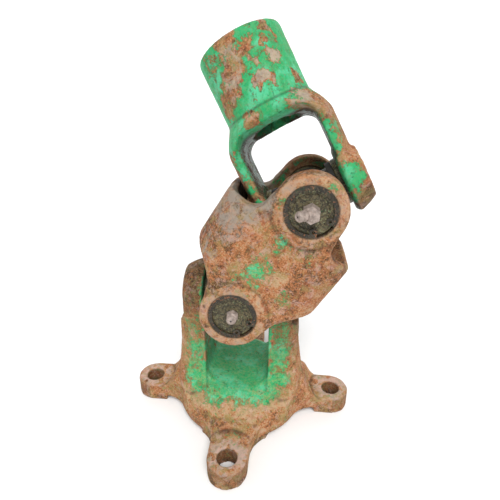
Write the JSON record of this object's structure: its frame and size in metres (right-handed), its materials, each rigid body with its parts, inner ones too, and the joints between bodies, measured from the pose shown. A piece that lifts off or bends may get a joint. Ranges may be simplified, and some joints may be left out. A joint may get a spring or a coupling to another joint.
{
  "type": "double cardan universal joint",
  "caption": "Wide-angle shaft joint with a lugged flange yoke, a drum-shaped centre yoke and a round hub yoke on two needle-bearing crosses.",
  "frame": {"origin": "centre of the bolt circle on the flange yoke's mounting face", "axes": "+Z along the flange axis, away from the mounting face; +X along the flange yoke's arms, to the right of the pictured view; -Y towards the pictured view"},
  "size_m": [0.1817, 0.1786, 0.2866],
  "materials": {
    "paint_flange": "chipped green paint over rust",
    "rust_center": "rusted casting with a few paint flecks",
    "paint_hub": "chipped green paint over rust",
    "cross_steel": "greasy forged steel",
    "cup_steel": "greasy dark steel",
    "roller_steel": "ground",
    "seal_rubber": "matte",
    "ring_steel": "dark spring steel",
    "fitting_steel": "dull zinc",
    "spring_steel": "bright"
  },
  "bodies": {
    "flange_side": {"flange_yoke": "paint_flange", "cup_lower_left": "cup_steel", "cup_lower_right": "cup_steel", "needles_lower_left": "roller_steel", "needles_lower_right": "roller_steel", "ring_lower_left": "ring_steel", "ring_lower_right": "ring_steel"},
    "lower_cross_body": {"cross_lower": "cross_steel", "seal_lower_left": "seal_rubber", "seal_lower_right": "seal_rubber", "seal_lower_front": "seal_rubber", "seal_lower_back": "seal_rubber"},
    "center_side": {"center_yoke": "rust_center", "cup_lower_front": "cup_steel", "cup_lower_back": "cup_steel", "cup_upper_front": "cup_steel", "cup_upper_back": "cup_steel", "needles_lower_front": "roller_steel", "needles_lower_back": "roller_steel", "needles_upper_front": "roller_steel", "needles_upper_back": "roller_steel", "ring_lower_front": "ring_steel", "ring_lower_back": "ring_steel", "ring_upper_front": "ring_steel", "ring_upper_back": "ring_steel", "fitting_lower": "fitting_steel", "fitting_lower_ball": "spring_steel", "fitting_lower_spring": "spring_steel", "fitting_upper": "fitting_steel", "fitting_upper_ball": "spring_steel", "fitting_upper_spring": "spring_steel"},
    "upper_cross_body": {"cross_upper": "cross_steel", "seal_upper_left": "seal_rubber", "seal_upper_right": "seal_rubber", "seal_upper_front": "seal_rubber", "seal_upper_back": "seal_rubber"},
    "hub_side": {"hub_yoke": "paint_hub", "cup_upper_left": "cup_steel", "cup_upper_right": "cup_steel", "needles_upper_left": "roller_steel", "needles_upper_right": "roller_steel", "ring_upper_left": "ring_steel", "ring_upper_right": "ring_steel"}
  },
  "joints": [
    {"name": "lower_tilt", "type": "hinge", "parent": "flange_side", "child": "lower_cross_body", "pos_m": [0, 0, 0.104], "axis": [1, 0, 0], "range_deg": [-6, 11.8]},
    {"name": "lower_fold", "type": "hinge", "parent": "lower_cross_body", "child": "center_side", "pos_m": [0, 0, 0.104], "axis": [0, 0.9987, -0.0506], "range_deg": [-66, 0]},
    {"name": "upper_fold", "type": "hinge", "parent": "center_side", "child": "upper_cross_body", "pos_m": [0.04847, 0.00378, 0.17855], "axis": [0, 0.9987, -0.0506], "range_deg": [0, 123]},
    {"name": "upper_tilt", "type": "hinge", "parent": "upper_cross_body", "child": "hub_side", "pos_m": [0.04847, 0.00378, 0.17855], "axis": [0.8788, 0.0241, 0.4765], "range_deg": [0, 23]}
  ]
}
